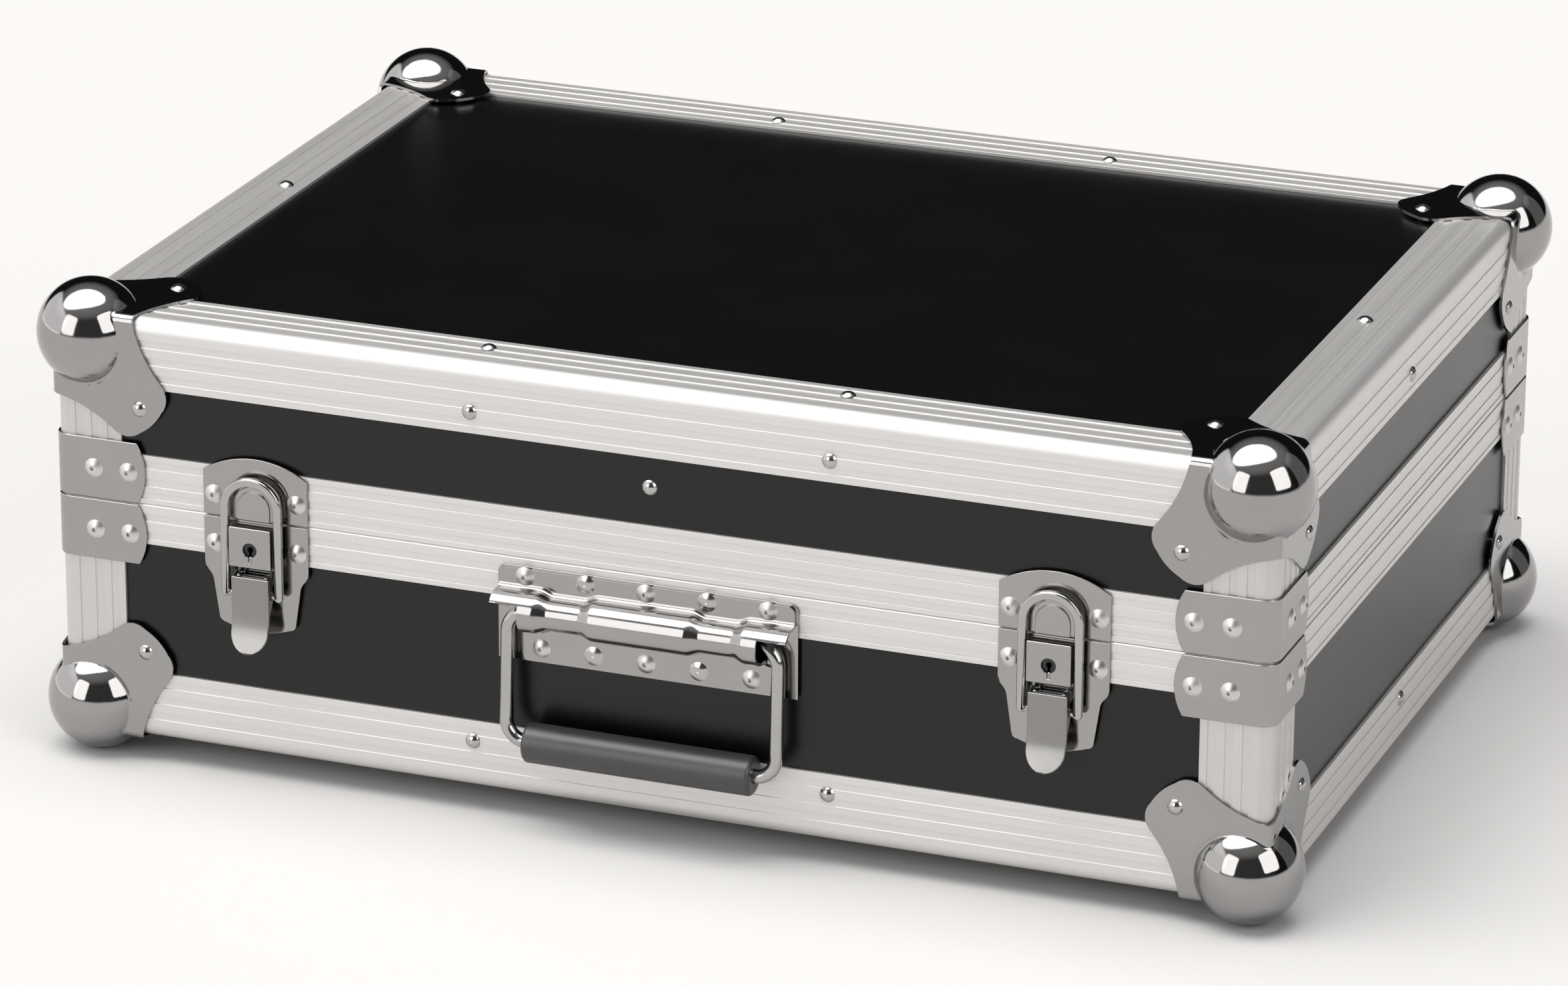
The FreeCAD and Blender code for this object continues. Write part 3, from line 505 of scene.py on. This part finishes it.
def pressed_points(form):
    """Rings of points from the corner out to the legs' edges: folded sheet with a ball swelling from it."""
    outline = np.array(leg_outline(form)[:-1])
    shares = np.interp(np.linspace(0.0, 1.0, form.rings + 1)[1:], ring_counts, ring_shares)
    grid = -form.sheet + shares[:, None, None] * (outline + form.sheet)[None]
    p, q = grid[..., 0], grid[..., 1]
    s = np.full_like(p, -form.sheet)
    faces = [np.stack(f, axis=-1) for f in ((p, q, s), (s, p, q), (q, s, p))]
    sharp = np.concatenate([np.full((1, 3), -form.sheet), np.concatenate(faces, axis=1).reshape(-1, 3)])
    away = np.concatenate([[0.0], np.tile(np.minimum(p, q), (1, 3)).reshape(-1)])
    deep = np.clip((away - form.groove_from) / (form.groove_full - form.groove_from), 0.0, 1.0)[:, None]
    inner = np.maximum(sharp, form.fold)
    off = sharp - inner
    folded = inner + (form.fold + form.sheet) * off / np.linalg.norm(off, axis=1, keepdims=True)
    out = folded - form.inset
    reach = np.linalg.norm(out, axis=1, keepdims=True)
    near = np.clip((reach - form.ball) / form.groove_width, 0.0, 1.0)
    sunk = reach - form.groove * ease(deep) * (1 - ease(near))
    meet = np.maximum(form.fillet - np.abs(sunk - form.ball), 0.0) / form.fillet
    swollen = np.maximum(sunk, form.ball) + meet * meet * form.fillet / 4
    return form.inset + out / reach * swollen, 3 * len(outline)


def pressed_faces(rings, across):
    """The middle fan and the rings of quads round it."""
    faces = [(0, 1 + (i + 1) % across, 1 + i) for i in range(across)]
    for ring in range(rings - 1):
        inner = 1 + ring * across
        outer = inner + across
        for i in range(across):
            j = (i + 1) % across
            faces.append((inner + i, inner + j, outer + j, outer + i))
    return faces


def new_piece(name, points, faces, finish):
    mesh = bpy.data.meshes.new(name)
    mesh.from_pydata([tuple(p) for p in points], [], faces)
    mesh.polygons.foreach_set("use_smooth", [True] * len(mesh.polygons))
    mesh.materials.append(finish)
    mesh.update()
    piece = bpy.data.objects.new(name, mesh)
    bpy.context.scene.collection.objects.link(piece)
    return piece


def as_sheet(piece, form):
    """Gives a surface the thickness of the sheet, behind its face, and rounds its edges."""
    shell = piece.modifiers.new("sheet", "SOLIDIFY")
    shell.thickness = form.sheet
    shell.offset = -1.0
    round_edges(piece, form.sheet_edge, sheet_angle, clamp=True)
    return piece


def press_corner(name, way, form, points, faces, finish):
    """One ball corner: way gives the side of the case along each axis as -1 or 1."""
    corner = np.array([case_low[i] if way[i] < 0 else case_high[i] for i in range(3)])
    placed = corner - np.array(way) * points
    # Nothing reaches below the floor.
    placed[:, 2] = np.maximum(placed[:, 2], 0.0)
    mirrored = way[0] * way[1] * way[2] > 0
    wound = [tuple(reversed(f)) for f in faces] if mirrored else faces
    return as_sheet(new_piece(name, placed, wound, finish), form)


# Points along the section of the handle's cover: each flange with the end of its fold, each fold, and the
# roll above and below its open ends' lip.
flange_count = 5
fold_count = 7
roof_count = 14
front_count = 22

# Steps along half the cover: up to a neck, down into it, along it, out of it, to the roll's open end, and
# on to the outer corner, which has steps of its own.
cover_counts = (6, 10, 4, 10, 8, 4)
corner_count = 8


def cut_back(across, half, corner):
    """How far a rounded corner falls behind a straight edge, at a distance from the middle."""
    return corner - math.sqrt(max(corner ** 2 - max(across - half + corner, 0.0) ** 2, 0.0))


def cover_section(form, radius, top, foot):
    """Section of the handle's cover as depths and heights, from its top edge over the roll to its foot."""
    low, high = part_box("handle_cover")
    face = high.y - form.sheet
    axis_y, axis_z = low.y + form.roll, high.z - form.roll_drop
    above, below = axis_z + radius + form.cove, axis_z - radius - form.cove
    flat = np.linspace(0.0, 1.0, flange_count)
    bend = np.linspace(0.0, math.pi / 2, fold_count)
    lip = math.asin(form.eaves / radius)
    roof = [(face, top + (above - top) * s) for s in flat[:-1]]
    roof += [(face - form.cove * (1 - math.cos(t)), above - form.cove * math.sin(t)) for t in bend]
    roof += [(axis_y - radius * math.cos(a), axis_z + radius * math.sin(a))
             for a in np.linspace(math.pi / 2, lip, roof_count)]
    front = [(axis_y - radius * math.cos(a), axis_z + radius * math.sin(a))
             for a in np.linspace(lip, -math.pi / 2, front_count)[1:]]
    front += [(face - form.cove * (1 - math.sin(t)), below + form.cove * math.cos(t)) for t in bend]
    front += [(face, below + (foot - below) * s) for s in flat[1:]]
    return roof, front


def cover_stops(form, half):
    """Places across the handle's cover at which its section is taken, from one end to the other."""
    half_slope = form.neck_ease
    ends = [0.0, form.neck_from - half_slope, form.neck_from + half_slope, form.neck_to - half_slope,
            form.neck_to + half_slope, form.roll_half, half - form.plate_corner]
    right = []
    for first, last, count in zip(ends, ends[1:], cover_counts):
        right += [first + (last - first) * i / count for i in range(count)]
    turns = [math.pi / 2 * i / corner_count for i in range(corner_count + 1)]
    right += [half - form.plate_corner * (1 - math.sin(t)) for t in turns]
    return [-u for u in reversed(right[1:])] + right


def make_cover(name, form, finish):
    """Folded cover of the handle: flanges, and a roll whose necks slope into its wider parts."""
    low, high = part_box("handle_cover")
    across = cover_stops(form, high.x)
    rows = []
    for u in across:
        inner = (abs(u) - form.neck_from) / (2 * form.neck_ease) + 0.5
        outer = (form.neck_to - abs(u)) / (2 * form.neck_ease) + 0.5
        pinch = min(max(min(inner, outer), 0.0), 1.0)
        radius = form.roll - (form.roll - form.neck) * ease(pinch)
        spread = u * form.foot_half / form.roll_half
        foot = low.z + cut_back(min(abs(spread), form.foot_half), form.foot_half, form.plate_corner)
        top = high.z - cut_back(abs(u), high.x, form.plate_corner)
        roof, front = cover_section(form, radius, top, foot)
        rows.append([(u, y, z) for y, z in roof + front[:-flange_count]]
                    + [(spread, y, z) for y, z in front[-flange_count:]])
    index = {}
    faces = []
    for i in range(len(rows) - 1):
        whole = abs(across[i] + across[i + 1]) / 2 < form.roll_half
        for j in range((len(rows[0]) if whole else len(roof)) - 1):
            ring = ((i, j), (i, j + 1), (i + 1, j + 1), (i + 1, j))
            faces.append(tuple(index.setdefault(key, len(index)) for key in ring))
    return as_sheet(new_piece(name, [rows[i][j] for i, j in index], faces, finish), form)


# Places on a pad's rounded edges, as shares of the rounding, and points along each side between them.
rim_shares = (0.0, 0.25, 0.5, 0.75)
pad_count = 14

# How flat the middle of a pad's crown is.
crown_power = 4


def stops(low, high, rim):
    """Places along one side of a pad, close together at its rounded ends."""
    ends = [rim * share for share in rim_shares]
    middle = np.linspace(low + rim, high - rim, pad_count)
    return [low + e for e in ends] + list(middle) + [high - e for e in reversed(ends)]


def make_pad(name, low, high, face, form, finish):
    """Foam slab with rounded edges, crowned on its open face: face is an axis and a side."""
    rim = form.pad_round
    low = np.array(low) + form.pad_gap
    high = np.array(high) - form.pad_gap
    sides = [stops(low[i], high[i], rim) for i in range(3)]
    index = {}
    faces = []
    for axis in range(3):
        b, c = (axis + 1) % 3, (axis + 2) % 3
        for end in (0, len(sides[axis]) - 1):
            for i in range(len(sides[b]) - 1):
                for j in range(len(sides[c]) - 1):
                    ring = []
                    for u, v in ((i, j), (i + 1, j), (i + 1, j + 1), (i, j + 1)):
                        key = [0, 0, 0]
                        key[axis], key[b], key[c] = end, u, v
                        ring.append(index.setdefault(tuple(key), len(index)))
                    faces.append(tuple(ring if end else reversed(ring)))
    box = np.array([[sides[i][k[i]] for i in range(3)] for k in index])
    inner = np.clip(box, low + rim, high - rim)
    off = box - inner
    points = inner + rim * off / np.linalg.norm(off, axis=1, keepdims=True)
    axis, side = face
    share = 2 * (points - low) / (high - low) - 1
    rise = np.ones(len(points))
    for other in ((axis + 1) % 3, (axis + 2) % 3):
        rise *= 1 - share[:, other] ** crown_power
    open_share = (1 + side * share[:, axis]) / 2
    points[:, axis] -= side * form.pad_crown * (1 - rise) * open_share
    return new_piece(name, points, faces, finish)


def facing(turn, rise):
    """The direction at a turn round the case and a rise above the floor, with its right and its up."""
    ahead = Vector((math.sin(turn) * math.cos(rise), -math.cos(turn) * math.cos(rise), math.sin(rise)))
    right = Vector((math.cos(turn), math.sin(turn), 0.0))
    return ahead, right, ahead.cross(right)


def softbox(field, way, view, lamp):
    """1 where a direction meets a lamp's panel and 0 elsewhere; view is the camera's own turn."""
    sides = facing(view + math.radians(lamp.turn), math.radians(lamp.rise))
    ahead, right, up = [
        field.node("ShaderNodeVectorMath", {"operation": "DOT_PRODUCT"}, {0: way, 1: side}, "Value")
        for side in sides]
    ahead = field.math("MAXIMUM", ahead, least_ahead)
    wide = abs(right / (lamp.half_wide * ahead)) ** lamp.corners
    tall = abs(up / (lamp.half_tall * ahead)) ** lamp.corners
    return 1 - between(field, wide + tall, 1 - lamp.soft, 1 + lamp.soft)


class CASE_OT_panels(bpy.types.Operator):
    """Finish the panels in black laminate"""

    bl_idname = "flight_case.panels"
    bl_label = "Panels"

    def execute(self, context):
        dress(ending("_panel"), material("black laminate", laminate, context.scene.case_finish))
        return {"FINISHED"}


class CASE_OT_edges(bpy.types.Operator):
    """Finish the edge angles and rim strips in drawn aluminium, streaked along each piece, with painted
    shade on the side strips and posts
    """

    bl_idname = "flight_case.edges"
    bl_label = "Edge angles and rims"

    def execute(self, context):
        finish, form = context.scene.case_finish, context.scene.case_form
        runs = {0: ("front_angle", "back_angle", "front_rim", "back_rim"),
                1: ("left_angle", "right_angle", "left_rim", "right_rim"),
                2: ("post_angles",)}
        for axis, ends in runs.items():
            # Each axis gets its own copy of the aluminium, darkened by its painted shade share.
            drawn = material("drawn aluminium " + "xyz"[axis], drawn_aluminium_with_painted_shade(axis), finish)
            dress(ending(*ends), drawn, form.strip_edge)
        return {"FINISHED"}


class CASE_OT_corners(bpy.types.Operator):
    """Press the eight ball corners: a ball that swells from three folded legs"""

    bl_idname = "flight_case.corners"
    bl_label = "Ball corners"

    def execute(self, context):
        form = context.scene.case_form
        chrome = plated("ball chrome", context.scene.case_finish)
        points, across = pressed_points(form)
        faces = pressed_faces(form.rings, across)
        for level, up in (("base", -1), ("lid", 1)):
            for depth, back in (("front", -1), ("back", 1)):
                for hand, right in (("left", -1), ("right", 1)):
                    name = f"{level}_ball_corner_{depth}_{hand}"
                    piece = press_corner(name, (right, back, up), form, points, faces, chrome)
                    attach(piece, level)
                    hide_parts(level + "_ball_corners")
        return {"FINISHED"}


class CASE_OT_braces(bpy.types.Operator):
    """Finish the corner braces in plated sheet"""

    bl_idname = "flight_case.braces"
    bl_label = "Corner braces"

    def execute(self, context):
        plate = plated("brace plate", context.scene.case_finish)
        dress(ending("_corner_braces"), plate, context.scene.case_form.sheet_edge)
        return {"FINISHED"}


class CASE_OT_rivets(bpy.types.Operator):
    """Finish the dome rivets and the pulled rivets"""

    bl_idname = "flight_case.rivets"
    bl_label = "Rivets"

    def execute(self, context):
        finish = context.scene.case_finish
        dress(ending("_dome_rivets"), plated("rivet steel", finish))
        dress(ending("_pulled_rivets"), plated("pulled rivet", finish))
        return {"FINISHED"}


class CASE_OT_latches(bpy.types.Operator):
    """Finish the draw latches, their locks and pins"""

    bl_idname = "flight_case.latches"
    bl_label = "Latches"

    def execute(self, context):
        finish, form = context.scene.case_finish, context.scene.case_form
        plate = plated("latch plate", finish)
        dress(["latch_plates", "latch_keepers"], plate, form.plate_edge, dissolve=False)
        dress(["lock_bodies"], plate, form.sheet_edge)
        dress(["latch_lever_left", "latch_lever_right"], plated("latch lever", finish), form.sheet_edge)
        dress(["latch_loop_left", "latch_loop_right"], plated("latch loop", finish), form.loop_edge)
        dress(["latch_pins"], plated("latch pin", finish))
        dress(["lock_core_left", "lock_core_right"], plated("key core", finish))
        return {"FINISHED"}


class CASE_OT_handle(bpy.types.Operator):
    """Fold the cover of the sprung drop handle, and finish the handle and its rubber grip"""

    bl_idname = "flight_case.handle"
    bl_label = "Handle"

    def execute(self, context):
        finish, form = context.scene.case_finish, context.scene.case_form
        plate = plated("handle plate", finish)
        dress(["handle_back_plate"], plate, form.plate_edge)
        cover = make_cover("handle_cover_pressing", form, plate)
        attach(cover, "base")
        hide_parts("handle_cover")
        dress(["handle_bail"], plated("handle wire", finish))
        dress(["handle_springs"], plated("spring steel", finish))
        dress(["handle_grip"], material("grip rubber", rubber, finish), form.sheet_edge)
        return {"FINISHED"}


class CASE_OT_hinges(bpy.types.Operator):
    """Finish the hinges on the back"""

    bl_idname = "flight_case.hinges"
    bl_label = "Hinges"

    def execute(self, context):
        finish, form = context.scene.case_finish, context.scene.case_form
        dress(["hinge_lid_leaves", "hinge_base_leaves"], plated("hinge plate", finish), form.sheet_edge)
        dress(["hinge_pins"], plated("hinge pin", finish))
        return {"FINISHED"}


class CASE_OT_lining(bpy.types.Operator):
    """Line the base and the lid with foam pads"""

    bl_idname = "flight_case.lining"
    bl_label = "Foam lining"

    def execute(self, context):
        form = context.scene.case_form
        soft = material("lining foam", foam, context.scene.case_finish)
        for level, flat, side in (("base", "base_floor_pad", 1), ("lid", "lid_top_pad", -1)):
            low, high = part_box(flat)
            self.settle(make_pad(flat + "_foam", low, high, (2, side), form, soft), level, flat)
            node = level + "_wall_pads"
            low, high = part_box(node)
            deep = form.wall_pad
            walls = {
                "front": ((low.x, low.y, low.z), (high.x, low.y + deep, high.z), (1, 1)),
                "back": ((low.x, high.y - deep, low.z), (high.x, high.y, high.z), (1, -1)),
                "left": ((low.x, low.y + deep, low.z), (low.x + deep, high.y - deep, high.z), (0, 1)),
                "right": ((high.x - deep, low.y + deep, low.z), (high.x, high.y - deep, high.z), (0, -1)),
            }
            for hand, (first, last, face) in walls.items():
                pad = make_pad(f"{level}_{hand}_pad_foam", first, last, face, form, soft)
                self.settle(pad, level, node)
        return {"FINISHED"}

    def settle(self, pad, level, node):
        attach(pad, level)
        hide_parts(node)


class CASE_OT_stage(bpy.types.Operator):
    """Set the pale floor, the studio light and the camera"""

    bl_idname = "flight_case.stage"
    bl_label = "Stage"

    def execute(self, context):
        stage = context.scene.case_stage
        self.floor(stage)
        self.light(context.scene, stage)
        self.camera(context.scene, stage)
        context.scene.view_settings.view_transform = "Standard"
        return {"FINISHED"}

    def floor(self, stage):
        half = stage.floor_side / 2
        corners = [(-half, -half, 0.0), (half, -half, 0.0), (half, half, 0.0), (-half, half, 0.0)]
        new_piece("floor", corners, [(0, 1, 2, 3)], material("floor paper", pale_floor, stage))

    def light(self, scene, stage):
        world = bpy.data.worlds.new("studio")
        world.use_nodes = True
        world.node_tree.nodes.clear()
        field = Field(world.node_tree)
        way = field.node("ShaderNodeTexCoord", output="Generated")
        rise = field.node("ShaderNodeSeparateXYZ", inputs={"Vector": way}, output="Z")
        glow = stage.horizon - (stage.horizon - stage.room) * between(field, rise, *horizon_fade)
        for group, panels in lamps.items():
            for lamp in panels:
                glow = glow + getattr(stage, group) * lamp.share * softbox(field, way, stage.azimuth, lamp)
        tint = shade(stage.light, 1.0)
        back = field.node("ShaderNodeBackground", inputs={"Color": tint, "Strength": glow})
        field.node("ShaderNodeOutputWorld", inputs={"Surface": back})
        scene.world = world

    def camera(self, scene, stage):
        back, right, up = facing(stage.azimuth, stage.elevation)
        across = right * math.cos(stage.roll) + up * math.sin(stage.roll)
        above = up * math.cos(stage.roll) - right * math.sin(stage.roll)
        turn = Matrix((across, above, back)).transposed().to_4x4()
        lens = bpy.data.cameras.new("camera")
        lens.lens = stage.lens
        lens.sensor_width = stage.film
        camera = bpy.data.objects.new("camera", lens)
        camera.matrix_world = Matrix.Translation(Vector(stage.eye)) @ turn
        scene.collection.objects.link(camera)
        scene.camera = camera


steps = (CASE_OT_stage, CASE_OT_panels, CASE_OT_edges, CASE_OT_corners, CASE_OT_braces, CASE_OT_rivets,
         CASE_OT_latches, CASE_OT_handle, CASE_OT_hinges, CASE_OT_lining)


class CASE_PT_steps(bpy.types.Panel):
    """Lists the steps that dress the case"""

    bl_label = "Flight case"
    bl_idname = "CASE_PT_steps"
    bl_space_type = "VIEW_3D"
    bl_region_type = "UI"
    bl_category = "Flight case"

    def draw(self, context):
        for step in steps:
            self.layout.operator(step.bl_idname)


groups = {"case_finish": CaseFinish, "case_form": CaseForm, "case_stage": CaseStage}


def register():
    for made in (*groups.values(), *steps, CASE_PT_steps):
        bpy.utils.register_class(made)
    for name, group in groups.items():
        setattr(bpy.types.Scene, name, PointerProperty(type=group))


def unregister():
    for name in groups:
        delattr(bpy.types.Scene, name)
    for made in (CASE_PT_steps, *reversed(steps), *groups.values()):
        bpy.utils.unregister_class(made)


def main():
    register()
    for step in steps:
        getattr(bpy.ops.flight_case, step.bl_idname.split(".")[1])()


if __name__ == "__main__":
    main()
